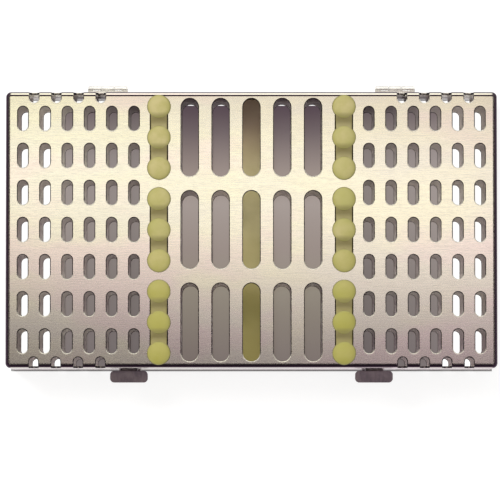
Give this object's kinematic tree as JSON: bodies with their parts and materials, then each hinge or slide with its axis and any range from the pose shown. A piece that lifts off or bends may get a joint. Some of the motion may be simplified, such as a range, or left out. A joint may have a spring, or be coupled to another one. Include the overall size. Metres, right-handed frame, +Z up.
{
  "type": "dental instrument cassette",
  "caption": "Shallow hinged case of perforated steel sheet with silicone rails that hold dental hand instruments for washing and sterilising",
  "frame": {"origin": "centre of the underside, on the flat end of the middle silicone stud that the case stands on", "axes": "+X to the right along the case's length, latches at -Y, hinges at +Y, +Z up through the lid"},
  "size_m": [0.2032, 0.1238, 0.0344],
  "materials": {
    "sheet_steel": "satin",
    "hinge_steel": "satin",
    "pin_steel": "polished",
    "latch_steel": "satin",
    "silicone": "satin",
    "silicone_strip": "satin"
  },
  "bodies": {
    "base": {"base_pan": "sheet_steel", "base_rail_left": "silicone", "base_rail_right": "silicone", "middle_strip": "silicone_strip", "hinge_base_leaf_left": "hinge_steel", "hinge_base_leaf_right": "hinge_steel", "hinge_pin_left": "pin_steel", "hinge_pin_right": "pin_steel", "base_hinge_rivets": "pin_steel", "latch_bracket_left": "latch_steel", "latch_bracket_right": "latch_steel", "latch_pin_left": "pin_steel", "latch_pin_right": "pin_steel", "latch_bracket_rivets": "pin_steel"},
    "lid": {"lid_pan": "sheet_steel", "lid_rail_left": "silicone", "lid_rail_right": "silicone", "hinge_lid_leaf_left": "hinge_steel", "hinge_lid_leaf_right": "hinge_steel", "lid_hinge_rivets": "pin_steel"},
    "latch_left": {"latch_left": "latch_steel"},
    "latch_right": {"latch_right": "latch_steel"}
  },
  "joints": [
    {"name": "lid_hinge", "type": "hinge", "parent": "base", "child": "lid", "pos_m": [0, 0.059, 0.01905], "axis": [-1, 0, 0], "range_deg": [0, 180]},
    {"name": "latch_left_swing", "type": "hinge", "parent": "base", "child": "latch_left", "pos_m": [-0.0507, -0.05915, 0.0093], "axis": [1, 0, 0], "range_deg": [0, 100]},
    {"name": "latch_right_swing", "type": "hinge", "parent": "base", "child": "latch_right", "pos_m": [0.0507, -0.05915, 0.0093], "axis": [1, 0, 0], "range_deg": [0, 100]}
  ]
}
